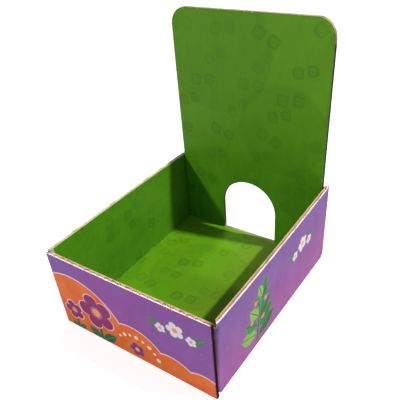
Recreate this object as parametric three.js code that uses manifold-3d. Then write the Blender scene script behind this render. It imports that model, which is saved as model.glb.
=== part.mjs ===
// Counter display box folded from one die-cut sheet of single-wall corrugated board:
// an open tray whose back panel carries on upwards as a tall header with an arched cut-out.
// Units are millimetres. +X is to the right of the front wall, +Y is to the back, +Z is up.
// The origin is on the table under the middle of the tray.

import * as THREE from 'three';
import { mergeVertices } from 'three/addons/utils/BufferGeometryUtils.js';
import Module from 'manifold-3d';

// Tray and header, outside sizes
const trayWidth = 150;
const trayDepth = 185;
const rimHeight = 76;
const headerHeight = 210;
const headerCornerRadius = 14;
const headerSideGap = 0.8;

// Arched cut-out at the foot of the back panel
const archWidth = 56;
const archHeight = 59;

// Board and its folds
const board = 3.3;
const foldOuterRadius = 2.4;
const foldInnerRadius = 0.5;
const seam = 0.3;

// Section of the board where it is cut: two liners with a waved medium between them.
// The flutes run from the front wall through the floor to the header, and along the side walls.
const liner = 0.45;
const medium = 0.4;
const flutePitch = 6.5;
const fluteDepth = 2.5;
const gluedShare = 0.16;
const channelDepth = 1.2;
const waveSteps = 6;
const cutOver = 1;

// Glued corner flaps at both ends of each side wall
const frontFlapLength = 42;
const rearFlapLength = 38;
const flapLift = 0.9;
const frontFlapDrop = 5;
const rearFlapDrop = 1.5;
const flapTaper = 5;
const flapCornerRadius = 3;

// The front end of each side wall springs outwards at the rim
const wallFlare = 2.4;
const flareSteps = 8;

// Fineness of the points' places
const pointGrid = 1e-3;

const wasm = await Module();
wasm.setup();

const X = new THREE.Vector3(1, 0, 0);
const Y = new THREE.Vector3(0, 1, 0);
const Z = new THREE.Vector3(0, 0, 1);

// Places that the panels share
const halfWidth = trayWidth / 2;
const frontFace = -trayDepth / 2;
const rearFace = trayDepth / 2;
const foldLength = board + foldInnerRadius;
const frontFlapFace = frontFace + board + seam;
const backPanelRear = rearFace - board - seam;
const sideFront = frontFlapFace + foldLength;
const sideRear = rearFace - foldLength;
const headerWidth = trayWidth - 2 * (board + headerSideGap);
const flapBottom = board + flapLift;
const frontFlapTop = rimHeight - frontFlapDrop;
const rearFlapTop = rimHeight - rearFlapDrop;
const core = board - 2 * liner;

// Points go on a common grid, so that panels that meet share exactly one plane
function toSolid(geometry) {
  const bare = geometry.clone();
  bare.deleteAttribute('normal');
  bare.deleteAttribute('uv');
  const merged = mergeVertices(bare, pointGrid / 10);
  const points = Array.from(merged.attributes.position.array, (value) => Math.round(value / pointGrid) * pointGrid);
  return new wasm.Manifold(new wasm.Mesh({
    numProp: 3,
    vertProperties: new Float32Array(points),
    triVerts: new Uint32Array(merged.index.array),
  }));
}

function toGeometry(solid) {
  const mesh = solid.getMesh();
  const geometry = new THREE.BufferGeometry();
  geometry.setAttribute('position', new THREE.BufferAttribute(mesh.vertProperties, 3));
  geometry.setIndex(new THREE.BufferAttribute(mesh.triVerts, 1));
  geometry.computeVertexNormals();
  return geometry;
}

// Extrudes a section drawn in u and v. The third axis follows from the right-hand rule.
function sweep(section, length, origin, u, v, steps = 1, curveSegments = 5) {
  const geometry = new THREE.ExtrudeGeometry(section, { depth: length, steps, curveSegments, bevelEnabled: false });
  const along = new THREE.Vector3().crossVectors(u, v);
  const frame = new THREE.Matrix4().makeBasis(u, v, along).setPosition(...origin);
  return geometry.applyMatrix4(frame);
}

function box(low, high) {
  const size = high.map((value, axis) => value - low[axis]);
  const middle = high.map((value, axis) => (value + low[axis]) / 2);
  return new THREE.BoxGeometry(...size).translate(...middle);
}

// The same geometry on the other side of the middle plane x = 0
function mirrored(geometry) {
  const bare = geometry.clone().deleteAttribute('normal').deleteAttribute('uv');
  const copy = mergeVertices(bare, pointGrid / 10);
  copy.applyMatrix4(new THREE.Matrix4().makeScale(-1, 1, 1));
  const order = copy.index.array;
  for (let corner = 0; corner < order.length; corner += 3) {
    const swap = order[corner];
    order[corner] = order[corner + 1];
    order[corner + 1] = swap;
  }
  return copy;
}

// Leans a left wall's points outwards: most at the front of the rim, none at the fold or the rear
function flared(geometry) {
  const points = geometry.attributes.position;
  for (let index = 0; index < points.count; index += 1) {
    const up = Math.max(0, (points.getZ(index) - foldLength) / (rimHeight - foldLength));
    const forward = (sideRear - points.getY(index)) / (sideRear - sideFront);
    points.setX(index, points.getX(index) - wallFlare * up * Math.max(0, forward));
  }
  return geometry;
}

// A folded corner in section: the outer corner is at (0, 0), one panel runs along u, one along v
function foldSection(uLength, vLength) {
  const section = new THREE.Shape();
  section.moveTo(uLength, 0);
  section.lineTo(foldOuterRadius, 0);
  section.absarc(foldOuterRadius, foldOuterRadius, foldOuterRadius, -Math.PI / 2, -Math.PI, true);
  section.lineTo(0, vLength);
  section.lineTo(board, vLength);
  section.lineTo(board, foldLength);
  section.absarc(foldLength, foldLength, foldInnerRadius, Math.PI, 1.5 * Math.PI, false);
  section.lineTo(uLength, board);
  section.closePath();
  return section;
}

function floorPanel() {
  const rear = backPanelRear - foldLength;
  const side = halfWidth - foldLength;
  return [box([-side, frontFace + foldLength, 0], [side, rear, board])];
}

function frontWall() {
  return [sweep(foldSection(foldLength, rimHeight), trayWidth, [-halfWidth, frontFace, 0], Y, Z)];
}

// Outline of the back panel and header above the fold, with round top corners
function headerOutline(bottom) {
  const side = headerWidth / 2;
  const outline = new THREE.Shape();
  outline.moveTo(-side, bottom);
  outline.lineTo(side, bottom);
  outline.lineTo(side, headerHeight - headerCornerRadius);
  outline.absarc(side - headerCornerRadius, headerHeight - headerCornerRadius, headerCornerRadius,
    0, Math.PI / 2, false);
  outline.lineTo(-side + headerCornerRadius, headerHeight);
  outline.absarc(-side + headerCornerRadius, headerHeight - headerCornerRadius, headerCornerRadius,
    Math.PI / 2, Math.PI, false);
  outline.closePath();
  return outline;
}

function archOutline() {
  const radius = archWidth / 2;
  const spring = board + archHeight - radius;
  const outline = new THREE.Shape();
  outline.moveTo(-radius, board);
  outline.lineTo(radius, board);
  outline.lineTo(radius, spring);
  outline.absarc(0, spring, radius, 0, Math.PI, false);
  outline.closePath();
  return outline;
}

function backPanel() {
  const fold = sweep(foldSection(foldLength, foldLength), headerWidth, [headerWidth / 2, backPanelRear, 0],
    Y.clone().negate(), Z);
  const panel = sweep(headerOutline(foldLength), board, [0, backPanelRear, 0], X, Z, 1, 10);
  return [fold, panel];
}

function archCutter() {
  const reach = board + foldLength;
  return sweep(archOutline(), reach, [0, backPanelRear + board / 2, 0], X, Z, 1, 24);
}

// Side wall on the left, from its bottom fold to the rim
function sideWall() {
  const wall = sweep(foldSection(foldLength, rimHeight), sideRear - sideFront, [-halfWidth, sideRear, 0],
    X, Z, flareSteps);
  const mitre = new THREE.Shape();
  mitre.moveTo(-halfWidth, sideFront);
  mitre.lineTo(-halfWidth, frontFlapFace);
  mitre.lineTo(-halfWidth + board, frontFlapFace + board);
  mitre.lineTo(-halfWidth + board, sideFront);
  mitre.closePath();
  const rimEnd = sweep(mitre, frontFlapDrop, [0, 0, rimHeight - frontFlapDrop], X, Y);
  return [flared(wall), flared(rimEnd)];
}

// Glue flap in elevation, from the corner fold to its free end, narrower there
function flapOutline(length, top) {
  const outline = new THREE.Shape();
  const high = top - flapTaper;
  const low = flapBottom + flapTaper;
  const round = flapCornerRadius;
  outline.moveTo(foldLength, flapBottom);
  outline.lineTo(length - round, low - round * flapTaper / length);
  outline.absarc(length - round, low + round, round, -Math.PI / 2, 0, false);
  outline.lineTo(length, high - round);
  outline.absarc(length - round, high - round, round, 0, Math.PI / 2, false);
  outline.lineTo(foldLength, top);
  outline.closePath();
  return outline;
}

function frontFlap() {
  const corner = sweep(foldSection(foldLength, foldLength), frontFlapTop - flapBottom,
    [-halfWidth, frontFlapFace, flapBottom], X, Y);
  const blade = sweep(flapOutline(frontFlapLength, frontFlapTop), board,
    [-halfWidth, frontFlapFace + board, 0], X, Z);
  return [flared(corner), flared(blade)];
}

function rearFlap() {
  const corner = sweep(foldSection(foldLength, foldLength), rimHeight - flapBottom,
    [-halfWidth, rearFace, rimHeight], X, Y.clone().negate());
  const blade = sweep(flapOutline(rearFlapLength, rearFlapTop), board, [-halfWidth, rearFace, 0], X, Z);
  return [corner, blade];
}

// One open flute end in section: the wave of the medium on one side, that side's liner on the other
function pocketSection(side) {
  const swing = (core - medium) / 2;
  const reach = flutePitch * (1 - gluedShare) / 2;
  const section = new THREE.Shape();
  section.moveTo(-reach, side * core / 2);
  for (let step = 0; step <= waveSteps; step += 1) {
    const along = reach * (2 * step / waveSteps - 1);
    const wave = medium / 2 - swing * Math.cos(2 * Math.PI * along / flutePitch);
    section.lineTo(along, side * wave);
  }
  section.lineTo(reach, side * core / 2);
  section.closePath();
  return section;
}

// Open flute ends along a raw edge. In its frame the edge runs along the first axis through the
// origin and faces along the third. dropAt says how far the edge has fallen away from there.
function fluteEnds(length, origin, u, v, dropAt = () => 0) {
  const outward = new THREE.Vector3().crossVectors(u, v);
  const last = Math.floor(length / flutePitch - 1);
  const pockets = [];
  for (let index = -last; index <= last; index += 1) {
    const along = index * flutePitch / 2;
    const depth = fluteDepth + dropAt(Math.abs(along) + flutePitch / 2);
    const start = new THREE.Vector3(...origin).addScaledVector(u, along).addScaledVector(outward, -depth);
    pockets.push(sweep(pocketSection(index % 2 === 0 ? 1 : -1), depth + cutOver, start.toArray(), u, v));
  }
  return pockets;
}

function frontWallFlutes() {
  const length = trayWidth - 2 * channelDepth;
  return fluteEnds(length, [0, frontFace + board / 2, rimHeight], X, Y);
}

function headerFlutes() {
  const straight = headerWidth / 2 - headerCornerRadius;
  const dropAt = (along) => {
    const past = Math.max(0, along - straight);
    return headerCornerRadius - Math.sqrt(headerCornerRadius ** 2 - past ** 2);
  };
  const length = headerWidth - headerCornerRadius;
  return fluteEnds(length, [0, backPanelRear - board / 2, headerHeight], X, Y, dropAt);
}

// Open flute ends on the free end of a left flap, which faces the middle of the tray
function flapFlutes(length, faceMiddle, top) {
  const low = flapBottom + flapTaper + flapCornerRadius;
  const high = top - flapTaper - flapCornerRadius;
  return fluteEnds(high - low, [-halfWidth + length, faceMiddle, (low + high) / 2], Z, Y.clone().negate());
}

// Edges cut along the flutes show one long channel between the liners
function frontWallChannel() {
  const middle = frontFace + board / 2;
  return box([-halfWidth - cutOver, middle - core / 2, foldLength],
    [-halfWidth + channelDepth, middle + core / 2, rimHeight - fluteDepth]);
}

function headerChannel() {
  const middle = backPanelRear - board / 2;
  const edge = -headerWidth / 2;
  return box([edge - cutOver, middle - core / 2, foldLength + liner],
    [edge + channelDepth, middle + core / 2, headerHeight - headerCornerRadius]);
}

// The rim of a side wall is cut along the flutes too, and the medium stands between two channels
function rimChannels() {
  const width = (core - medium) / 2;
  const start = sideRear + cutOver;
  const length = start - frontFlapFace + seam / 2;
  return [liner, liner + width + medium].map((inset) => {
    const section = new THREE.Shape();
    section.moveTo(inset, rimHeight - fluteDepth);
    section.lineTo(inset + width, rimHeight - fluteDepth);
    section.lineTo(inset + width, rimHeight + cutOver);
    section.lineTo(inset, rimHeight + cutOver);
    section.closePath();
    return flared(sweep(section, length, [-halfWidth, start, 0], X, Z, flareSteps));
  });
}

function displayBox() {
  const left = [...sideWall(), ...frontFlap(), ...rearFlap()];
  const panels = [...floorPanel(), ...frontWall(), ...backPanel(), ...left, ...left.map(mirrored)];
  let solid = toSolid(panels[0]);
  for (const panel of panels.slice(1)) {
    solid = solid.add(toSolid(panel));
  }
  const leftCuts = [
    ...flapFlutes(frontFlapLength, frontFlapFace + board / 2, frontFlapTop).map(flared),
    ...flapFlutes(rearFlapLength, rearFace - board / 2, rearFlapTop),
    frontWallChannel(),
    headerChannel(),
    ...rimChannels(),
  ];
  const cuts = [archCutter(), ...frontWallFlutes(), ...headerFlutes(), ...leftCuts, ...leftCuts.map(mirrored)];
  for (const cut of cuts) {
    solid = solid.subtract(toSolid(cut));
  }
  const printedBoard = new THREE.MeshStandardMaterial({ color: 0x4c8020, roughness: 0.55, metalness: 0 });
  const mesh = new THREE.Mesh(toGeometry(solid), printedBoard);
  mesh.name = 'display_box';
  return mesh;
}

const part = new THREE.Group();
part.add(displayBox());

export default part;
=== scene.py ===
import math

import bmesh
import bpy
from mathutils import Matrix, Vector


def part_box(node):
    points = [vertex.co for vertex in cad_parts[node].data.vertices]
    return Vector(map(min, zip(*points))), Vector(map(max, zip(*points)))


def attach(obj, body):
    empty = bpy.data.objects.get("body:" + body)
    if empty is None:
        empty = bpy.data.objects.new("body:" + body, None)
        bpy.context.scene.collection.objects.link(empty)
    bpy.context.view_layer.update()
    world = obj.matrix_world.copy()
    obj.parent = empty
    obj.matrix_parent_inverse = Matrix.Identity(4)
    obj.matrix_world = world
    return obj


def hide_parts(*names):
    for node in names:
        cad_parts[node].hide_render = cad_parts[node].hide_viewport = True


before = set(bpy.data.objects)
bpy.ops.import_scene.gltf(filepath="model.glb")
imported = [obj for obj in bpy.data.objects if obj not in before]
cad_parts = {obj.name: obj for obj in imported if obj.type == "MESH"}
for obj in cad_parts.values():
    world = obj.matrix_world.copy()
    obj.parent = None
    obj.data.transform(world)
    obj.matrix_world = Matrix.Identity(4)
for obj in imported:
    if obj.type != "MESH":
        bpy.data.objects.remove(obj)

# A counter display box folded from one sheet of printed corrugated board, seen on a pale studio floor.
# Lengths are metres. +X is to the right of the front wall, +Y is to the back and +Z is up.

MM = 0.001
NODE = "display_box"
LOW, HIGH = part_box(NODE)
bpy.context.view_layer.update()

# The folded sheet, with the sizes that its solid was drawn with
HALF_WIDTH = 75 * MM
FRONT = LOW.y
REAR = HIGH.y
RIM = 76 * MM
HEADER_TOP = HIGH.z
BOARD = 3.3 * MM
SEAM = 0.3 * MM
FOLD_RADIUS = 2.4 * MM
FOLD_LENGTH = 3.8 * MM
FLARE = 2.4 * MM
HEADER_HALF = HALF_WIDTH - BOARD - 0.8 * MM
PANEL_REAR = REAR - BOARD - SEAM
PANEL_FRONT = PANEL_REAR - BOARD
FLAP_FACE = FRONT + BOARD + SEAM
SIDE_FRONT = FLAP_FACE + FOLD_LENGTH
SIDE_REAR = REAR - FOLD_LENGTH
FLUTE_PITCH = 6.5 * MM
ARCH_HALF = 28 * MM
ARCH_TOP = 62.3 * MM
HEADER_CURVE = 18 * MM
SILL_TOP = 2 * BOARD
SIDE_WEAR_START = 60 * MM

FLUTE_DEPTH = 2.5 * MM
HEADER_CORNER = 14 * MM

# How far a real board strays from flat, and how far apart its bending edges lie
SIDE_BOW = 0.7 * MM
FRONT_BOW = 0.35 * MM
HEADER_BOW = 0.9 * MM
CUT_SPACING = 9 * MM

# How far the cut has pushed up the floors of the open flutes: beside the outer and the inner face of
# the front and side walls, and in the header's top. The last value is the slack in a floor's level.
OUTER_FLUTE_RAISE = 2.1 * MM
INNER_FLUTE_RAISE = 1.3 * MM
HEADER_FLUTE_RAISE = 1.4 * MM
LEVEL_ROOM = 0.2 * MM

# Strength of the painted shade in the open flutes along each cut edge, 0 to 1, and how far in from a
# wall's end it reaches
FRONT_FLUTE_SHADE = 1.0
HEADER_FLUTE_SHADE = 0.95
CURVE_FLUTE_SHADE = 0.5
ARCH_FLUTE_SHADE = 1.0
SILL_FLUTE_SHADE = 0.75
FLUTE_SHADE_REACH = 2 * MM

# Fineness of the mesh: what is one point, and which share of the board is its face or its liner
SAME_POINT = 0.001 * MM
SLIVER = 0.002 * MM
CUT_ROOM = 0.0001 * MM
FACE_SHARE = 0.03
LINER_SHARE = 0.1
SHARP_TURN = 32

# Width of the worn strip beside each cut edge
WORN_WIDTH = 1.6 * MM

# Camera, fitted to the corners of the box in the photograph, with its lens and sensor in millimetres
CAMERA_PLACE = (0.20096, -0.26135, 0.30309)
CAMERA_TURN = (51.842, 4.924, 34.979)
CAMERA_LENS = 44.746
CAMERA_SENSOR = 36
CAMERA_SHIFT = (0.02727, 0.12126)

# Lamps as name, place, size, power and colour. The walls' shadows fall as they do in the photograph.
KEY_LAMP = ("key_light", (0.90, 0.275, 1.28), 0.05, 23, (1.0, 0.98, 0.95))
FILL_LAMP = ("fill_light", (-0.90, -1.65, 1.20), 0.15, 23, (0.97, 0.98, 1.0))
BACK_LAMP = ("back_light", (-0.80, 1.90, 0.50), 0.6, 8, (1.0, 1.0, 1.0))
LAMP_TARGET = Vector((0, 0, 0.05))
WORLD_LIGHT = 0.26

# Floor, which glows for the camera alone so that it stays pale, and more so far off
FLOOR_HALF = 12.0
FLOOR_GREY = 0.62
FLOOR_GLOW = 0.66
FLOOR_FADE_PLACE = 1.1
FLOOR_FADE_WIDTH = 0.7
WHITE = (1, 1, 1, 1)


# Mesh of the board

def flare_at(point):
    """How far a side wall leans out at this place: most at the front of the rim."""
    up = max(0.0, (point.z - FOLD_LENGTH) / (RIM - FOLD_LENGTH))
    forward = max(0.0, (SIDE_REAR - point.y) / (SIDE_REAR - SIDE_FRONT))
    return FLARE * min(up, 1.0) * forward


def panel_at(point):
    """Name of the panel that holds this place."""
    beside = abs(point.x) > HALF_WIDTH - FOLD_LENGTH
    if point.y < FLAP_FACE - SEAM / 2:
        return "front"
    if point.y > REAR - BOARD - SEAM / 2:
        return "rear_flap"
    if point.y > PANEL_FRONT - SEAM / 2 and not beside:
        return "back"
    if beside:
        return "side"
    if point.y < FLAP_FACE + BOARD + SEAM / 2 and point.z > BOARD + SEAM:
        return "front_flap"
    return "floor"


def depth_at(point, panel):
    """Distance from the outside face of the sheet into the board."""
    side = HALF_WIDTH + flare_at(point) - abs(point.x)
    pairs = {
        "front": (point.y - FRONT, point.z),
        "back": (PANEL_REAR - point.y, point.z),
        "side": (side, point.z, point.y - FLAP_FACE, REAR - point.y),
        "rear_flap": (REAR - point.y, side),
        "front_flap": (point.y - FLAP_FACE, side),
        "floor": (point.z,),
    }
    near = sorted(pairs[panel])
    if len(near) > 1 and near[1] < FOLD_RADIUS:
        return FOLD_RADIUS - math.hypot(FOLD_RADIUS - near[0], FOLD_RADIUS - near[1])
    return near[0]


def blank_place(point, panel):
    """Place on the flat sheet before folding, with the floor in the middle and the flutes along v."""
    hand = 1 if point.x > 0 else -1
    if panel == "front":
        return point.x, FRONT - point.z
    if panel == "back":
        return point.x, PANEL_REAR + point.z
    if panel == "side":
        return hand * (HALF_WIDTH + point.z), point.y
    if panel == "rear_flap":
        return hand * (HALF_WIDTH + point.z), REAR + HALF_WIDTH - abs(point.x)
    if panel == "front_flap":
        return hand * (HALF_WIDTH + point.z), FLAP_FACE - HALF_WIDTH + abs(point.x)
    return point.x, point.y


def flute_shade_at(point, panel):
    """Strength of the painted shade in the open flute along a cut edge, where little light gets in."""
    if panel == "front" and abs(point.x) > HALF_WIDTH - FLUTE_SHADE_REACH:
        return FRONT_FLUTE_SHADE
    if panel == "back" and abs(point.x) > HEADER_HALF - FLUTE_SHADE_REACH and point.z > FOLD_LENGTH:
        return HEADER_FLUTE_SHADE if point.z < HEADER_TOP - HEADER_CURVE else CURVE_FLUTE_SHADE
    if panel == "back" and abs(point.x) < ARCH_HALF + SEAM and point.z < ARCH_TOP + SEAM:
        return ARCH_FLUTE_SHADE if point.z > SILL_TOP else SILL_FLUTE_SHADE
    return 0.0


def flute_floor_at(point, panel):
    """How far the floor of an open flute is raised, because the cut has crushed and frayed it."""
    share = depth_at(point, panel) / BOARD
    if not LINER_SHARE < share < 1 - LINER_SHARE:
        return Vector((0, 0, 0))
    if panel in ("front", "side") and abs(RIM - FLUTE_DEPTH - point.z) < LEVEL_ROOM:
        return Vector((0, 0, OUTER_FLUTE_RAISE if share < 0.5 else INNER_FLUTE_RAISE))
    flat_top = abs(point.x) < HEADER_HALF - HEADER_CORNER
    if panel == "back" and flat_top and abs(HEADER_TOP - FLUTE_DEPTH - point.z) < LEVEL_ROOM:
        return Vector((0, 0, HEADER_FLUTE_RAISE))
    return Vector((0, 0, 0))


def bow_at(point, panel):
    """Small bulge of the panel away from flat."""
    along = (point.y - FRONT) / (REAR - FRONT)
    up = min(1.0, point.z / RIM)
    across = point.x / HALF_WIDTH
    if panel == "side":
        hand = 1 if point.x > 0 else -1
        return Vector((hand * SIDE_BOW * math.sin(math.pi * along) * up, 0, 0))
    if panel == "front":
        return Vector((0, -FRONT_BOW * math.cos(across * math.pi / 2) * up, 0))
    if panel == "back":
        height = max(0.0, point.z - RIM) / (HEADER_TOP - RIM)
        return Vector((0, HEADER_BOW * height * (height - across * across / 2), 0))
    return Vector((0, 0, 0))


def cut_into_strips(mesh, low, high, spacing):
    """Adds edges across every panel, so that it can bulge."""
    for axis in range(3):
        count = int((high[axis] - low[axis]) / spacing)
        normal = [0, 0, 0]
        normal[axis] = 1
        for step in range(1, count):
            place = Vector(low)
            place[axis] = low[axis] + (high[axis] - low[axis]) * step / count
            everything = mesh.verts[:] + mesh.edges[:] + mesh.faces[:]
            bmesh.ops.bisect_plane(mesh, geom=everything, plane_co=place, plane_no=normal, dist=CUT_ROOM)


def sharpen_borders(data):
    """Makes every edge sharp where print meets a cut edge."""
    first = {}
    for face in data.polygons:
        for key in face.edge_keys:
            if first.setdefault(key, face.material_index) != face.material_index:
                first[key] = -1
    for edge in data.edges:
        if first.get(tuple(sorted(edge.vertices))) == -1:
            edge.use_edge_sharp = True


def make_board(materials):
    """The folded sheet as one mesh, with a face material for each of its surfaces."""
    mesh = bmesh.new()
    mesh.from_mesh(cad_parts[NODE].data)
    bmesh.ops.remove_doubles(mesh, verts=mesh.verts, dist=SAME_POINT)
    cut_into_strips(mesh, LOW, HIGH, CUT_SPACING)
    bmesh.ops.dissolve_degenerate(mesh, edges=mesh.edges, dist=SLIVER)
    mesh.verts.index_update()
    place = mesh.loops.layers.uv.new("blank")
    ply = mesh.loops.layers.float.new("ply")
    flute_shade = mesh.loops.layers.float.new("flute_shade")
    moves = {}
    for face in mesh.faces:
        middle = face.calc_center_median() - face.normal * SEAM / 4
        panel = panel_at(middle)
        depths = []
        for corner in face.loops:
            point = corner.vert.co
            depth = depth_at(point, panel) / BOARD
            depths.append(depth)
            corner[ply] = depth
            corner[place].uv = blank_place(point, panel)
            # Strength of the painted shade in the open flutes at this corner
            corner[flute_shade] = flute_shade_at(point, panel)
            moves[corner.vert.index] = bow_at(point, panel) + flute_floor_at(point, panel)
        if max(depths) < FACE_SHARE:
            face.material_index = 0
        elif min(depths) > 1 - FACE_SHARE:
            face.material_index = 1
        else:
            face.material_index = 2
        face.smooth = True
    for vertex in mesh.verts:
        vertex.co += moves.get(vertex.index, Vector((0, 0, 0)))
    data = bpy.data.meshes.new("printed_board")
    mesh.to_mesh(data)
    mesh.free()
    for material in materials:
        data.materials.append(material)
    data.set_sharp_from_angle(angle=math.radians(SHARP_TURN))
    sharpen_borders(data)
    piece = bpy.data.objects.new("printed_board", data)
    bpy.context.scene.collection.objects.link(piece)
    return piece


# Node helpers

class Field:
    """A number that varies over the surface: one socket of a node tree, with plain arithmetic."""

    def __init__(self, tree, socket):
        self.tree = tree
        self.socket = socket

    def math(self, operation, *others):
        node = self.tree.nodes.new("ShaderNodeMath")
        node.operation = operation
        for slot, value in zip(node.inputs, (self, *others)):
            plug(self.tree, slot, value)
        return Field(self.tree, node.outputs[0])

    def __add__(self, other):
        return self.math("ADD", other)

    def __sub__(self, other):
        return self.math("SUBTRACT", other)

    def __mul__(self, other):
        return self.math("MULTIPLY", other)

    def __truediv__(self, other):
        return self.math("DIVIDE", other)

    def __neg__(self):
        return self.math("MULTIPLY", -1.0)

    def __abs__(self):
        return self.math("ABSOLUTE")

    def most(self, other):
        return self.math("MAXIMUM", other)

    def least(self, other):
        return self.math("MINIMUM", other)

    def below(self, edge, soft=0.0002):
        """1 where the field is below the edge and 0 above it, with a soft step between."""
        node = self.tree.nodes.new("ShaderNodeMapRange")
        node.interpolation_type = "SMOOTHSTEP"
        plug(self.tree, node.inputs["Value"], self)
        node.inputs["From Min"].default_value = edge - soft
        node.inputs["From Max"].default_value = edge + soft
        node.inputs["To Min"].default_value = 1.0
        node.inputs["To Max"].default_value = 0.0
        return Field(self.tree, node.outputs["Result"])

    def above(self, edge, soft=0.0002):
        return self.below(edge, soft).math("MULTIPLY_ADD", -1.0, 1.0)


def plug(tree, slot, value):
    """Puts a number, a colour, a socket or a field on an input."""
    if isinstance(value, Field):
        tree.links.new(value.socket, slot)
    elif isinstance(value, bpy.types.NodeSocket):
        tree.links.new(value, slot)
    else:
        slot.default_value = value


def add(tree, kind, settings=None, **inputs):
    """A new node with its settings and inputs. Spaces in socket names are written as underscores."""
    node = tree.nodes.new(kind)
    for name, value in (settings or {}).items():
        setattr(node, name, value)
    for name, value in inputs.items():
        plug(tree, node.inputs[name.replace("_", " ")], value)
    return node


def split(tree, vector):
    node = add(tree, "ShaderNodeSeparateXYZ", Vector=vector)
    return Field(tree, node.outputs["X"]), Field(tree, node.outputs["Y"]), Field(tree, node.outputs["Z"])


def join(tree, x, y, z=0.0):
    return add(tree, "ShaderNodeCombineXYZ", X=x, Y=y, Z=z).outputs["Vector"]


def shifted(tree, operation, vector, by):
    """The vector moved by another one, with ADD or SUBTRACT."""
    node = add(tree, "ShaderNodeVectorMath", {"operation": operation})
    plug(tree, node.inputs[0], vector)
    plug(tree, node.inputs[1], by)
    return node.outputs["Vector"]


def turned(tree, vector, angle):
    """The vector turned about the z axis."""
    node = add(tree, "ShaderNodeVectorRotate", {"rotation_type": "Z_AXIS"}, Vector=vector, Angle=angle)
    return node.outputs["Vector"]


def distance_from(x, y, middle, height):
    """Distance on a panel from one point of it."""
    away = x - middle
    rise = y - height
    return (away * away + rise * rise).math("SQRT")


def blend(tree, amount, first, second):
    """The first colour where the amount is 0, and the second where it is 1."""
    node = tree.nodes.new("ShaderNodeMix")
    node.data_type = "RGBA"
    plug(tree, node.inputs["Factor"], amount)
    plug(tree, node.inputs[6], first)
    plug(tree, node.inputs[7], second)
    return node.outputs[2]


def attribute(tree, name):
    return Field(tree, add(tree, "ShaderNodeAttribute", {"attribute_name": name}).outputs["Fac"])


def noise(tree, vector, scale, detail=3.0, roughness=0.55):
    """Cloudy noise from 0 to 1, with its scale per metre."""
    node = add(tree, "ShaderNodeTexNoise", Vector=vector, Scale=scale, Detail=detail, Roughness=roughness)
    return Field(tree, node.outputs["Fac"])


def srgb(red, green, blue):
    """A colour given as it looks on screen, 0 to 255, as the linear colour that nodes use."""
    def linear(value):
        value = value / 255
        return value / 12.92 if value <= 0.04045 else ((value + 0.055) / 1.055) ** 2.4
    return linear(red), linear(green), linear(blue), 1.0


def new_group(name, vectors, numbers, results):
    """An empty shader group. Its inputs are vectors and numbers, and its results are numbers."""
    tree = bpy.data.node_groups.new(name, "ShaderNodeTree")
    for label in vectors:
        tree.interface.new_socket(name=label, in_out="INPUT", socket_type="NodeSocketVector")
    for label in numbers:
        tree.interface.new_socket(name=label, in_out="INPUT", socket_type="NodeSocketFloat")
    for label in results:
        tree.interface.new_socket(name=label, in_out="OUTPUT", socket_type="NodeSocketFloat")
    source = tree.nodes.new("NodeGroupInput")
    sink = tree.nodes.new("NodeGroupOutput")
    return tree, source.outputs, sink.inputs


def use_group(tree, group, **inputs):
    node = tree.nodes.new("ShaderNodeGroup")
    node.node_tree = group
    for name, value in inputs.items():
        plug(tree, node.inputs[name.replace("_", " ")], value)
    return node.outputs


def new_material(name):
    material = bpy.data.materials.new(name)
    material.use_nodes = True
    tree = material.node_tree
    tree.nodes.clear()
    shader = tree.nodes.new("ShaderNodeBsdfPrincipled")
    output = tree.nodes.new("ShaderNodeOutputMaterial")
    tree.links.new(shader.outputs["BSDF"], output.inputs["Surface"])
    return material, tree, shader


# Shared effects

# Height of the flutes that show through the print, of the paper's grain and of the dents
FLUTE_HEIGHT = 0.012
GRAIN_HEIGHT = 0.010
DENT_HEIGHT = 0.10

# Pairs of blocks: random shift and twist of a pair, its slope, and the sizes of what is in it
PAIR_SHIFT = (0.26, 0.3)
PAIR_TWIST = 0.9
PAIR_SLOPE = 0.16
BLOCK_OUTLINE = 0.9 * MM
DOT_RADIUS = 1.3 * MM
RING_RADIUS = 1.5 * MM
RING_LINE = 0.5 * MM


def flute_relief_group():
    """Height of the printed face, from its flutes, grain and dents, with masks of mottle and scuffs."""
    tree, source, sink = new_group("flute_relief", ["Vector"], [], ["Height", "Mottle", "Scuff"])
    across, along, _ = split(tree, source["Vector"])
    wander = noise(tree, source["Vector"], 14.0) - 0.5
    wave = (across * (2 * math.pi / FLUTE_PITCH) + wander * 0.8).math("SINE")
    grain = noise(tree, source["Vector"], 900.0, 4.0) - 0.5
    dents = noise(tree, source["Vector"], 35.0, 2.0) - 0.5
    height = wave * FLUTE_HEIGHT + grain * GRAIN_HEIGHT + dents * DENT_HEIGHT
    plug(tree, sink["Height"], height)
    streak = join(tree, across * 40.0, along * 9.0)
    mottle = noise(tree, streak, 4.0, 4.0) * 0.6 + noise(tree, source["Vector"], 260.0, 2.0) * 0.4
    plug(tree, sink["Mottle"], mottle)
    scuff = noise(tree, source["Vector"], 48.0, 5.0, 0.7).above(0.66, 0.03)
    speck = noise(tree, source["Vector"], 620.0, 3.0).above(0.55, 0.08)
    plug(tree, sink["Scuff"], scuff * speck)
    return tree


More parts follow.
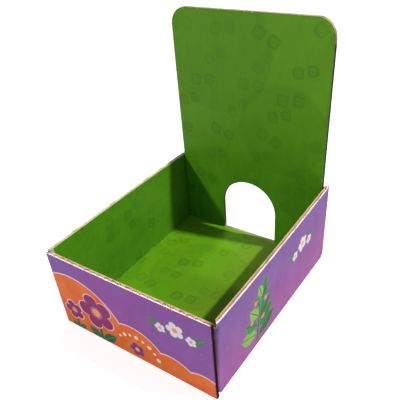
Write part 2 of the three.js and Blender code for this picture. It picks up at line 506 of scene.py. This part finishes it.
def crease_group():
    """Pressed fold lines of the sheet and the worn strip beside its cut edges, as masks."""
    results = ["Fold", "Crack", "Edge", "Chip"]
    tree, source, sink = new_group("creases", ["Vector", "Place"], ["Width"], results)
    u, v, _ = split(tree, source["Vector"])
    width = Field(tree, source["Width"])
    beyond = abs(u) - HALF_WIDTH
    lengthwise = abs(beyond)
    beside = beyond.above(0.0, 0.1 * MM)
    between = -beside + 1.0
    front = abs(v - FRONT) + beside
    rear = abs(v - PANEL_REAR) + beside
    front_corner = abs(v - FLAP_FACE) + between
    rear_corner = abs(v - REAR) + between
    nearest = lengthwise.least(front).least(rear).least(front_corner).least(rear_corner)
    fold = (nearest / width).math("MULTIPLY_ADD", -1.0, 1.0).most(0.0)
    plug(tree, sink["Fold"], fold)
    crackle = noise(tree, source["Place"], 480.0, 5.0, 0.75)
    worn = noise(tree, source["Place"], 40.0).above(0.5, 0.1)
    plug(tree, sink["Crack"], crackle.above(0.58, 0.06) * fold * worn)
    rim = abs(beyond - RIM) * beside + between
    front_rim = abs(-v + FRONT - RIM) + beside
    top = abs(v - PANEL_REAR - HEADER_TOP) + beside
    sides = abs(abs(u) - HEADER_HALF) + v.below(PANEL_REAR + SIDE_WEAR_START)
    edge = rim.least(front_rim).least(top).least(sides)
    near = (edge / WORN_WIDTH).math("MULTIPLY_ADD", -1.0, 1.0).most(0.0)
    plug(tree, sink["Edge"], near)
    flakes = noise(tree, source["Place"], 300.0, 4.0, 0.7) + near * 0.16
    plug(tree, sink["Chip"], flakes.above(0.74, 0.03) * near.above(0.02, 0.02))
    return tree


def rounded_square(x, y):
    """Distance that is the same all along a square with rounded corners."""
    wide = x * x
    tall = y * y
    return (wide * wide + tall * tall).math("POWER", 0.25)


def block_pair_group():
    """A pair of outlined blocks in each cell of a loose grid: a dot in one, a ring in the other."""
    numbers = ["Cell", "Block", "Spread", "Tilt", "Seed"]
    tree, source, sink = new_group("block_pairs", ["Vector"], numbers, ["Mask"])
    cell = Field(tree, source["Cell"])
    block = Field(tree, source["Block"])
    spread = Field(tree, source["Spread"])
    x, y, _ = split(tree, source["Vector"])
    row = y / cell
    stagger = (row.math("FLOOR") * 0.5).math("FRACT")
    column = x / cell + stagger
    home = join(tree, column.math("FLOOR"), row.math("FLOOR"), source["Seed"])
    chance = add(tree, "ShaderNodeTexWhiteNoise", {"noise_dimensions": "3D"}, Vector=home)
    shift_x, shift_y, twist = split(tree, chance.outputs["Color"])
    local_x = (column.math("FRACT") - 0.5 + (shift_x - 0.5) * PAIR_SHIFT[0]) * cell
    local_y = (row.math("FRACT") - 0.5 + (shift_y - 0.5) * PAIR_SHIFT[1]) * cell
    turn = Field(tree, source["Tilt"]) + (twist - 0.5) * PAIR_TWIST
    u, v, _ = split(tree, turned(tree, join(tree, local_x, local_y), turn))
    right_x = u - spread
    right_y = v - spread * PAIR_SLOPE
    left_x = u + spread
    left_y = v + spread * PAIR_SLOPE
    first = rounded_square(right_x, right_y) - block * 1.06
    second = rounded_square(left_x, left_y) - block * 1.12
    outline = abs(first.least(second)).below(BLOCK_OUTLINE, 1.2 * MM)
    filled = first.least(second).below(0.0, 0.8 * MM)
    dot = distance_from(right_x, right_y, 0.0, 0.0).below(DOT_RADIUS, 0.9 * MM)
    ring_middle = distance_from(left_x, left_y, 0.0, 0.0)
    ring = abs(ring_middle - RING_RADIUS).below(RING_LINE, 0.6 * MM)
    strength = Field(tree, chance.outputs["Value"]) * 0.8 + 0.4
    plug(tree, sink["Mask"], outline.most(dot * 0.7).most(ring * 0.6).most(filled * 0.35) * strength)
    return tree


def leaf_group():
    """One pointed leaf on a flat panel: its mask and the masks of its middle rib and its pale rim."""
    numbers = ["Angle", "Length", "Width"]
    tree, source, sink = new_group("leaf", ["Vector", "Place"], numbers, ["Mask", "Rib", "Rim"])
    moved = shifted(tree, "SUBTRACT", source["Vector"], source["Place"])
    along, across, _ = split(tree, turned(tree, moved, -Field(tree, source["Angle"])))
    share = along / Field(tree, source["Length"])
    belly = (share * math.pi).math("SINE").most(0.0).math("POWER", 1.3) * Field(tree, source["Width"])
    within = share.above(0.0, 0.01) * share.below(1.0, 0.01)
    mask = (abs(across) - belly).below(0.0, 0.25 * MM) * within
    rib = abs(across).below(0.35 * MM, 0.2 * MM) * mask
    plug(tree, sink["Mask"], mask)
    plug(tree, sink["Rib"], rib)
    plug(tree, sink["Rim"], (abs(across) - belly).above(-0.7 * MM, 0.3 * MM) * mask)
    return tree


# Materials

# Gloss of the varnished print and of the bare board
PRINT_ROUGHNESS = 0.42
PRINT_GLOSS = 0.24
BOARD_ROUGHNESS = 0.88
BOARD_GLOSS = 0.15

# How much mottle, folds and worn edges darken the print, and how much scuffs, cracks and chips bare it
MOTTLE_SHADE = 0.34
FOLD_SHADE = 0.10
EDGE_SHADE = 0.16
SCUFF_BARE = 0.22
CRACK_BARE = 0.40
CHIP_BARE = 0.6

# Width of the pressed folds on each face, and how far the purple runs onto the bare underside
INSIDE_CREASE = 1.1 * MM
OUTSIDE_CREASE = 1.5 * MM
BLEED = 6 * MM

# Inks inside
GREEN = srgb(82, 144, 20)
GREEN_DEEP = srgb(74, 136, 16)
GREEN_PATCH = srgb(70, 130, 14)
GREEN_WARM = srgb(96, 148, 16)
# Painted light: the floor's green is brighter and yellower than the walls', standing in for the stronger
# light on the floor
GREEN_FLOOR_LIT = srgb(104, 163, 14)
# Painted warm light on the floor's right part
PAINTED_FLOOR_LIGHT = srgb(108, 125, 30)
# Painted light: the header's green, paler towards its top where more light falls
GREEN_HEADER_LIT = srgb(98, 152, 20)
GREEN_BLOCK = srgb(44, 88, 8)
GREEN_DISC = srgb(44, 96, 6)

# Painted light: where the floor is painted warmer to the right and the header paler upwards, each with
# its soft reach
FLOOR_LIGHT_REACH = (8 * MM, 32 * MM)
HEADER_LIGHT_REACH = (PANEL_REAR + RIM + 20 * MM, 50 * MM)

# Inks outside
PURPLE = srgb(140, 76, 154)
PURPLE_BLUE = srgb(128, 86, 164)
PURPLE_RED = srgb(164, 86, 158)
PURPLE_SIDE = srgb(122, 82, 154)
ORANGE = srgb(222, 102, 36)
ORANGE_LIGHT = srgb(230, 122, 54)
OUTLINE = srgb(236, 196, 200)
LEAF = srgb(58, 128, 74)
LEAF_RIB = srgb(96, 158, 92)
LEAF_DARK = srgb(38, 104, 70)
LEAF_DARK_RIB = srgb(92, 150, 84)
WHITE_PETAL = srgb(232, 212, 230)
WHITE_EYE = srgb(222, 160, 78)
DARK_PETAL = srgb(142, 44, 104)
DARK_RING = srgb(188, 92, 150)
DARK_EYE = srgb(228, 160, 88)
SMALL_PETAL = srgb(120, 60, 132)
SMALL_EYE = srgb(236, 180, 80)
BEAD = srgb(242, 216, 196)
STEM = srgb(40, 100, 52)
SPRIG_LEAVES = [srgb(40, 108, 54), srgb(132, 180, 70), srgb(50, 122, 64), srgb(56, 134, 76)]
SPRIG_RIB = srgb(32, 88, 44)
SPRIG_RIM = srgb(112, 170, 104)
BERRY = srgb(204, 104, 116)
BERRY_LIGHT = srgb(232, 160, 160)

# Where the purple turns bluer to the left and redder downwards, each with its soft reach
FRONT_BLUE = (-44 * MM, 26 * MM)
FRONT_RED = (40 * MM, 40 * MM)
SIDE_RED = (38 * MM, 36 * MM)

# Bare paper and board
PAPER_INSIDE = srgb(206, 200, 160)
PAPER_OUTSIDE = srgb(244, 232, 228)
UNDERSIDE = srgb(232, 228, 218)
KRAFT = srgb(217, 180, 158)
KRAFT_DEEP = srgb(172, 128, 108)
KRAFT_FIBRE = srgb(150, 112, 88)
LINER_OUTER = srgb(255, 232, 232)
LINER_INNER = srgb(196, 186, 124)
LEFT_RIM_TINT = srgb(206, 222, 176)
TOP_EDGE_TINT = srgb(150, 146, 104)

# Painted shade in the open flutes: at the front corners, in the arch, beside the header and, paler and
# greener, on the arch's sill
CORNER_SHADE = srgb(62, 22, 50)
ARCH_SHADE = srgb(34, 58, 14)
HEADER_SHADE = srgb(50, 34, 26)
SILL_SHADE = srgb(112, 140, 62)

# Pairs of blocks inside, in two sets that lie in cells of one size
BLOCK_CELL = 44 * MM
EVEN_BLOCKS = {"Block": 3.6 * MM, "Spread": 6.8 * MM, "Tilt": 0.26, "Seed": 3.0}
ODD_BLOCKS = {"Block": 3.2 * MM, "Spread": 6.0 * MM, "Tilt": -0.3, "Seed": 8.0}

# Orange hills of the front wall, as place of the centre and radius
HILLS = [(-54 * MM, 12 * MM, 48 * MM), (2 * MM, 4 * MM, 31 * MM), (37 * MM, -3 * MM, 26 * MM),
         (66 * MM, -1 * MM, 21 * MM)]
HILL_OUTLINE = 1.3 * MM

# Flowers of the front wall and of a garland, as place of the centre and radius
FRONT_FLOWERS = [(-34 * MM, 32 * MM, 18 * MM), (-61 * MM, 22 * MM, 10 * MM)]
GARLAND_FLOWERS = [(0, 3 * MM, 7.5 * MM), (13 * MM, -1 * MM, 4.6 * MM), (-13 * MM, -1 * MM, 4.6 * MM)]

# Places of the garland on the front wall and on each side wall
FRONT_GARLAND = (45 * MM, 53 * MM)
SIDE_GARLAND = (40 * MM, 48 * MM)

# Petals of a flower: depth of the notches as a share of its radius, and how round they are
NOTCH_SHARE = 0.42
PETAL_ROUNDNESS = 0.55

# Arc of beads inside the second hill, as place of the centre and radius, with its turns in degrees
BEAD_ARC = (4 * MM, 4 * MM, 22 * MM)
BEAD_COUNT = 8
BEAD_START = 20
BEAD_SWEEP = 116

# Sprig of the side walls: its stem's place and height, its curve per metre, its leaves and its berries.
# A leaf's turn, length and width are the first leaf's, and how much less each next leaf has.
SPRIG_STEM = -34 * MM
SPRIG_FOOT = 7 * MM
SPRIG_HEIGHT = 46 * MM
SPRIG_CURVE = 3.2
SPRIG_LEAF_COUNT = 11
SPRIG_FIRST_LEAF = 3 * MM
SPRIG_LEAF_STEP = 4.4 * MM
SPRIG_LEAF_TURN = (68, 5)
SPRIG_LEAF_LENGTH = (30 * MM, 1.5 * MM)
SPRIG_LEAF_WIDTH = (7.6 * MM, 0.4 * MM)
BERRIES = [(8 * MM, 20 * MM), (-9 * MM, 27 * MM), (11 * MM, 37 * MM), (-4 * MM, 43 * MM)]

# Faint large darker discs inside, as place on the sheet and radius
DISCS = [(32 * MM, 208 * MM, 40 * MM),
         (-30 * MM, 268 * MM, 52 * MM),
         (58 * MM, 150 * MM, 30 * MM),
         (-98 * MM, -20 * MM, 38 * MM),
         (-10 * MM, 10 * MM, 46 * MM)]


def finish_print(tree, shader, colour, relief, creases, paper):
    """Varnished ink: mottle, sheen and relief, with scuffs, cracks and chips down to bare paper."""
    mottle = Field(tree, relief["Mottle"])
    fold = Field(tree, creases["Fold"])
    crack = Field(tree, creases["Crack"])
    edge = Field(tree, creases["Edge"])
    chip = Field(tree, creases["Chip"])
    value = (mottle * MOTTLE_SHADE + (1 - MOTTLE_SHADE / 2)) - fold * FOLD_SHADE - edge * EDGE_SHADE
    shaded = add(tree, "ShaderNodeHueSaturation", Color=colour, Value=value).outputs["Color"]
    bare = (Field(tree, relief["Scuff"]) * SCUFF_BARE).most(crack * CRACK_BARE).most(chip * CHIP_BARE)
    plug(tree, shader.inputs["Base Color"], blend(tree, bare, shaded, paper))
    plug(tree, shader.inputs["Roughness"], mottle * 0.16 + PRINT_ROUGHNESS + bare * 0.4)
    shader.inputs["Specular IOR Level"].default_value = PRINT_GLOSS
    height = Field(tree, relief["Height"]) - fold * 0.25 - crack * 0.06
    bump = add(tree, "ShaderNodeBump", Strength=0.5, Distance=1 * MM, Height=height)
    tree.links.new(bump.outputs["Normal"], shader.inputs["Normal"])


def inside_print(relief_group, crease, pairs):
    material, tree, shader = new_material("inside_print")
    place = add(tree, "ShaderNodeUVMap", {"uv_map": "blank"}).outputs["UV"]
    relief = use_group(tree, relief_group, Vector=place)
    x, y, _ = split(tree, place)
    clouds = noise(tree, place, 11.0, 2.0)
    colour = blend(tree, clouds.above(0.5, 0.16), GREEN, GREEN_DEEP)
    patches = noise(tree, place, 46.0, 3.0).above(0.52, 0.14)
    colour = blend(tree, patches * 0.7, colour, GREEN_PATCH)
    warm = noise(tree, place, 7.0, 2.0).above(0.6, 0.12)
    colour = blend(tree, warm * 0.4, colour, GREEN_WARM)
    within_sides = abs(x).below(HALF_WIDTH - FOLD_RADIUS, 1 * MM)
    on_floor = within_sides * y.above(FRONT, 1 * MM) * y.below(PANEL_REAR, 1 * MM)
    # Painted light: the floor painted brighter and yellower than the walls
    colour = blend(tree, on_floor * 0.8, colour, GREEN_FLOOR_LIT)
    # Painted warm light on the floor's right part
    colour = blend(tree, on_floor * x.above(*FLOOR_LIGHT_REACH) * 0.7, colour, PAINTED_FLOOR_LIGHT)
    # Painted light: the header painted paler upwards
    colour = blend(tree, y.above(*HEADER_LIGHT_REACH) * 0.68, colour, GREEN_HEADER_LIT)
    even = use_group(tree, pairs, Vector=place, Cell=BLOCK_CELL, **EVEN_BLOCKS)
    moved = shifted(tree, "ADD", place, (BLOCK_CELL / 4, BLOCK_CELL / 2, 0))
    odd = use_group(tree, pairs, Vector=moved, Cell=BLOCK_CELL, **ODD_BLOCKS)
    motif = Field(tree, even["Mask"]).most(odd["Mask"])
    fade = noise(tree, place, 20.0, 2.0) * 0.5 + 0.08
    colour = blend(tree, motif * fade, colour, GREEN_BLOCK)
    for across, along, reach in DISCS:
        disc = distance_from(x, y, across, along)
        colour = blend(tree, disc.below(reach, 1.2 * MM) * 0.16, colour, GREEN_DISC)
    where = add(tree, "ShaderNodeTexCoord").outputs["Object"]
    creases = use_group(tree, crease, Vector=place, Width=INSIDE_CREASE, Place=where)
    finish_print(tree, shader, colour, relief, creases, PAPER_INSIDE)
    return material


def hill_line(x, z):
    """Distance from the edge of the orange hills: negative inside them."""
    hills = [distance_from(x, z, middle, centre) - radius for middle, centre, radius in HILLS]
    line = hills[0]
    for hill in hills[1:]:
        line = line.least(hill)
    return line


def flower(x, z, middle, height, radius):
    """Five round petals: negative inside, with the distance from the centre as a second field."""
    distance = distance_from(x, z, middle, height)
    angle = (z - height).math("ARCTAN2", x - middle)
    petals = (angle * 2.5).math("SINE")
    bulge = abs(petals).math("POWER", PETAL_ROUNDNESS)
    edge = bulge * (NOTCH_SHARE * radius) + (1 - NOTCH_SHARE) * radius
    return distance - edge, distance


def paint_leaf(tree, group, colour, leaf, rib, **inputs):
    """One leaf over the colour. Returns the new colour and the leaf's masks."""
    masks = use_group(tree, group, **inputs)
    colour = blend(tree, Field(tree, masks["Mask"]), colour, leaf)
    return blend(tree, Field(tree, masks["Rib"]), colour, rib), masks


def garland(tree, leaf, colour, x, z, middle, height):
    """Three pale five-petal flowers in a row with a leaf at each end."""
    for hand in (1, -1):
        end = (middle + hand * 15 * MM, height, 0)
        colour, _ = paint_leaf(tree, leaf, colour, LEAF, LEAF_RIB, Vector=join(tree, x, z), Place=end,
                               Angle=math.radians(90 - hand * 62), Length=10 * MM, Width=3 * MM)
    for across, rise, radius in GARLAND_FLOWERS:
        edge, distance = flower(x, z, middle + across, height + rise, radius)
        colour = blend(tree, edge.below(0.6 * MM), colour, LEAF)
        colour = blend(tree, edge.below(0.0), colour, WHITE_PETAL)
        colour = blend(tree, distance.below(0.3 * radius), colour, WHITE_EYE)
    return colour


def lessened(values, index):
    """The first value, less one step for each index."""
    first, step = values
    return first - step * index


def sprig(tree, leaf, colour, place):
    """A curved stem with pointed leaves on both sides and round berries."""
    x, z, _ = split(tree, place)
    rise = z - SPRIG_FOOT
    stem = abs(x - SPRIG_STEM - rise * rise * SPRIG_CURVE)
    on_stem = stem.below(0.9 * MM) * z.above(SPRIG_FOOT) * z.below(SPRIG_FOOT + SPRIG_HEIGHT)
    colour = blend(tree, on_stem, colour, STEM)
    for index in range(SPRIG_LEAF_COUNT):
        up = SPRIG_FIRST_LEAF + SPRIG_LEAF_STEP * index
        hand = 1 if index % 2 == 0 else -1
        angle = math.radians(90 - hand * lessened(SPRIG_LEAF_TURN, index))
        base = Vector((SPRIG_STEM + SPRIG_CURVE * up * up, SPRIG_FOOT + up, 0))
        colour, masks = paint_leaf(tree, leaf, colour, SPRIG_LEAVES[index % len(SPRIG_LEAVES)], SPRIG_RIB,
                                   Vector=place, Place=base, Angle=angle,
                                   Length=lessened(SPRIG_LEAF_LENGTH, index),
                                   Width=lessened(SPRIG_LEAF_WIDTH, index))
        colour = blend(tree, Field(tree, masks["Rim"]) * 0.7, colour, SPRIG_RIM)
    for side, up in BERRIES:
        berry = distance_from(x, z, SPRIG_STEM + side, SPRIG_FOOT + up)
        colour = blend(tree, berry.below(2.7 * MM), colour, BERRY)
        colour = blend(tree, berry.below(1.0 * MM), colour, BERRY_LIGHT)
    return colour


def flower_with_leaves(tree, leaf, colour, x, z, middle, height, radius):
    """A dark five-petal flower with a pale outline, on a stalk with two leaves."""
    stalk = abs(x - middle).below(1.4 * MM) * z.below(height - 0.6 * radius)
    colour = blend(tree, stalk, colour, LEAF_DARK)
    for hand, reach in ((1, 1.25), (-1, 1.0)):
        colour, _ = paint_leaf(tree, leaf, colour, LEAF_DARK, LEAF_DARK_RIB, Vector=join(tree, x, z),
                               Place=(middle, 1 * MM, 0), Angle=math.radians(90 - hand * 52),
                               Length=reach * radius, Width=0.26 * radius)
    edge, distance = flower(x, z, middle, height, radius)
    colour = blend(tree, edge.below(1.0 * MM), colour, OUTLINE)
    colour = blend(tree, edge.below(0.0), colour, DARK_PETAL)
    colour = blend(tree, distance.below(0.35 * radius), colour, DARK_RING)
    return blend(tree, distance.below(0.23 * radius), colour, DARK_EYE)


def bead_arc(tree, colour, x, z):
    """Pale beads, large and small in turn, on an arc round a small flower."""
    middle, height, reach = BEAD_ARC
    for index in range(BEAD_COUNT):
        turn = math.radians(BEAD_START + BEAD_SWEEP * index / (BEAD_COUNT - 1))
        bead = distance_from(x, z, middle + reach * math.cos(turn), height + reach * math.sin(turn))
        radius = (2.0 if index % 2 == 0 else 1.4) * MM
        colour = blend(tree, bead.below(radius), colour, BEAD)
    edge, distance = flower(x, z, middle, height + 8 * MM, 7 * MM)
    colour = blend(tree, edge.below(0.0), colour, SMALL_PETAL)
    return blend(tree, distance.below(2.2 * MM), colour, SMALL_EYE)


def front_print(tree, leaf, colour, x, z):
    """Orange hills with a pale outline, flowers, a garland and an arc of beads on the front wall."""
    line = hill_line(x, z)
    angle = (z + 30 * MM).math("ARCTAN2", x + 40 * MM)
    rays = (angle * 17.0).math("SINE").above(0.0, 0.25)
    orange = blend(tree, rays * 0.45, ORANGE, ORANGE_LIGHT)
    colour = blend(tree, line.below(HILL_OUTLINE), colour, OUTLINE)
    colour = blend(tree, line.below(0.0), colour, orange)
    for middle, height, radius in FRONT_FLOWERS:
        colour = flower_with_leaves(tree, leaf, colour, x, z, middle, height, radius)
    colour = garland(tree, leaf, colour, x, z, *FRONT_GARLAND)
    return bead_arc(tree, colour, x, z)


def outside_print(relief_group, crease, leaf):
    material, tree, shader = new_material("outside_print")
    place = add(tree, "ShaderNodeUVMap", {"uv_map": "blank"}).outputs["UV"]
    relief = use_group(tree, relief_group, Vector=place)
    u, v, _ = split(tree, place)
    clouds = noise(tree, place, 9.0, 2.0)
    front_left = u.below(*FRONT_BLUE) * v.below(FRONT)
    bluer = clouds.above(0.5, 0.2).most(front_left)
    field = blend(tree, bluer, PURPLE, PURPLE_BLUE)
    rise = -v + FRONT
    front = blend(tree, rise.below(*FRONT_RED) * 0.35, field, PURPLE_RED)
    front = front_print(tree, leaf, front, u, rise)
    wall_rise = abs(u) - HALF_WIDTH
    side = blend(tree, wall_rise.below(*SIDE_RED) * 0.85, PURPLE_SIDE, PURPLE_RED)
    side = sprig(tree, leaf, side, join(tree, v, wall_rise))
    side = garland(tree, leaf, side, v, wall_rise, *SIDE_GARLAND)
    colour = blend(tree, abs(u).above(HALF_WIDTH), field, side)
    colour = blend(tree, v.below(FRONT), colour, front)
    streaks = noise(tree, join(tree, u * 0.35, v), 60.0, 3.0).above(0.52, 0.2)
    patches = noise(tree, place, 42.0, 3.0).above(0.55, 0.2)
    streaks = streaks * abs(u).above(HALF_WIDTH) + patches * 0.5
    paler = add(tree, "ShaderNodeHueSaturation", Color=colour, Saturation=0.92, Value=1.16)
    colour = blend(tree, streaks * 0.55, colour, paler.outputs["Color"])
    bare = abs(u).below(HALF_WIDTH - BLEED, 0.3 * MM) * v.above(FRONT + BLEED, 0.3 * MM)
    bare = bare * v.below(PANEL_REAR - BLEED, 0.3 * MM)
    colour = blend(tree, bare, colour, UNDERSIDE)
    where = add(tree, "ShaderNodeTexCoord").outputs["Object"]
    creases = use_group(tree, crease, Vector=place, Width=OUTSIDE_CREASE, Place=where)
    finish_print(tree, shader, colour, relief, creases, PAPER_OUTSIDE)
    return material


def cut_edge():
    """Raw edge of the board: bright outer liner, kraft flutes, cream inner liner, and painted shade in
    the open flutes.
    """
    material, tree, shader = new_material("cut_edge")
    ply = attribute(tree, "ply")
    flute_shade = attribute(tree, "flute_shade")
    where = add(tree, "ShaderNodeTexCoord").outputs["Object"]
    x, y, z = split(tree, where)
    fibres = noise(tree, where, 700.0, 5.0, 0.7)
    ragged = ply + (noise(tree, where, 380.0, 3.0) - 0.5) * 0.14
    colour = blend(tree, ragged.below(0.58, 0.10), KRAFT, KRAFT_DEEP)
    colour = blend(tree, fibres.above(0.5, 0.25) * 0.35, colour, KRAFT_FIBRE)
    colour = blend(tree, ragged.below(0.38, 0.05), colour, LINER_OUTER)
    colour = blend(tree, ragged.above(0.86, 0.05), colour, LINER_INNER)
    left_rim = x.below(-HALF_WIDTH + 7 * MM, 2 * MM) * z.above(RIM - 6 * MM, 2 * MM)
    colour = blend(tree, left_rim * 0.55, colour, LEFT_RIM_TINT)
    top = z.above(HEADER_TOP - 6 * MM, 3 * MM)
    colour = blend(tree, top * 0.75, colour, TOP_EDGE_TINT)
    arch = abs(x).below(ARCH_HALF + 1 * MM, 0.5 * MM) * z.below(ARCH_TOP + 1 * MM, 0.5 * MM)
    # Painted shade in the open flutes: dark at the front corners, in the arch and beside the header,
    # paler and greener on the arch's sill
    shade = blend(tree, arch, CORNER_SHADE, ARCH_SHADE)
    shade = blend(tree, z.above(RIM + 1 * MM, 1 * MM), shade, HEADER_SHADE)
    shade = blend(tree, arch * z.below(SILL_TOP, 1 * MM), shade, SILL_SHADE)
    whole_edge = flute_shade.above(0.9, 0.02).most(arch)
    shaded = flute_shade * whole_edge.most(ply.above(0.14, 0.06)) * 0.96
    plug(tree, shader.inputs["Base Color"], blend(tree, shaded, colour, shade))
    shader.inputs["Roughness"].default_value = BOARD_ROUGHNESS
    shader.inputs["Specular IOR Level"].default_value = BOARD_GLOSS
    bump = add(tree, "ShaderNodeBump", Strength=0.7, Distance=0.4 * MM, Height=fibres)
    tree.links.new(bump.outputs["Normal"], shader.inputs["Normal"])
    return material


# Stage, lights and camera

def make_floor():
    mesh = bmesh.new()
    bmesh.ops.create_grid(mesh, x_segments=1, y_segments=1, size=FLOOR_HALF)
    data = bpy.data.meshes.new("studio_floor")
    mesh.to_mesh(data)
    mesh.free()
    floor = bpy.data.objects.new("studio_floor", data)
    bpy.context.scene.collection.objects.link(floor)
    material, tree, shader = new_material("pale_floor")
    shader.inputs["Base Color"].default_value = (FLOOR_GREY, FLOOR_GREY, FLOOR_GREY, 1)
    shader.inputs["Roughness"].default_value = 0.9
    shader.inputs["Specular IOR Level"].default_value = 0.0
    shader.inputs["Emission Color"].default_value = WHITE
    seen = Field(tree, tree.nodes.new("ShaderNodeLightPath").outputs["Is Camera Ray"])
    x, y, _ = split(tree, add(tree, "ShaderNodeTexCoord").outputs["Object"])
    far = distance_from(x, y, 0.0, 0.0).above(FLOOR_FADE_PLACE, FLOOR_FADE_WIDTH)
    plug(tree, shader.inputs["Emission Strength"], seen * (far * (1 - FLOOR_GLOW) + FLOOR_GLOW))
    data.materials.append(material)


def area_light(name, place, size, power, colour):
    light = bpy.data.lights.new(name, "AREA")
    light.size = size
    light.energy = power
    light.color = colour
    lamp = bpy.data.objects.new(name, light)
    lamp.location = place
    aim = LAMP_TARGET - Vector(place)
    lamp.rotation_euler = aim.to_track_quat("-Z", "Y").to_euler()
    bpy.context.scene.collection.objects.link(lamp)
    return lamp


def make_lights():
    area_light(*KEY_LAMP)
    area_light(*FILL_LAMP)
    back = area_light(*BACK_LAMP)
    back.visible_glossy = False
    world = bpy.data.worlds.new("studio")
    world.use_nodes = True
    tree = world.node_tree
    tree.nodes.clear()
    seen = add(tree, "ShaderNodeBackground", Color=WHITE, Strength=1.0)
    lit = add(tree, "ShaderNodeBackground", Color=WHITE, Strength=WORLD_LIGHT)
    path = tree.nodes.new("ShaderNodeLightPath")
    mix = tree.nodes.new("ShaderNodeMixShader")
    output = tree.nodes.new("ShaderNodeOutputWorld")
    tree.links.new(path.outputs["Is Camera Ray"], mix.inputs[0])
    tree.links.new(lit.outputs[0], mix.inputs[1])
    tree.links.new(seen.outputs[0], mix.inputs[2])
    tree.links.new(mix.outputs[0], output.inputs[0])
    bpy.context.scene.world = world


def make_camera():
    data = bpy.data.cameras.new("camera")
    data.sensor_width = CAMERA_SENSOR
    data.lens = CAMERA_LENS
    data.shift_x, data.shift_y = CAMERA_SHIFT
    data.clip_start = 0.01
    camera = bpy.data.objects.new("camera", data)
    camera.location = CAMERA_PLACE
    camera.rotation_euler = [math.radians(turn) for turn in CAMERA_TURN]
    bpy.context.scene.collection.objects.link(camera)
    bpy.context.scene.camera = camera


make_camera()
relief_tree = flute_relief_group()
pair_tree = block_pair_group()
leaf_tree = leaf_group()
crease_tree = crease_group()
outside = outside_print(relief_tree, crease_tree, leaf_tree)
inside = inside_print(relief_tree, crease_tree, pair_tree)
board = make_board([outside, inside, cut_edge()])
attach(board, "root")
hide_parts(NODE)
make_floor()
make_lights()
bpy.context.scene.view_settings.view_transform = "Standard"
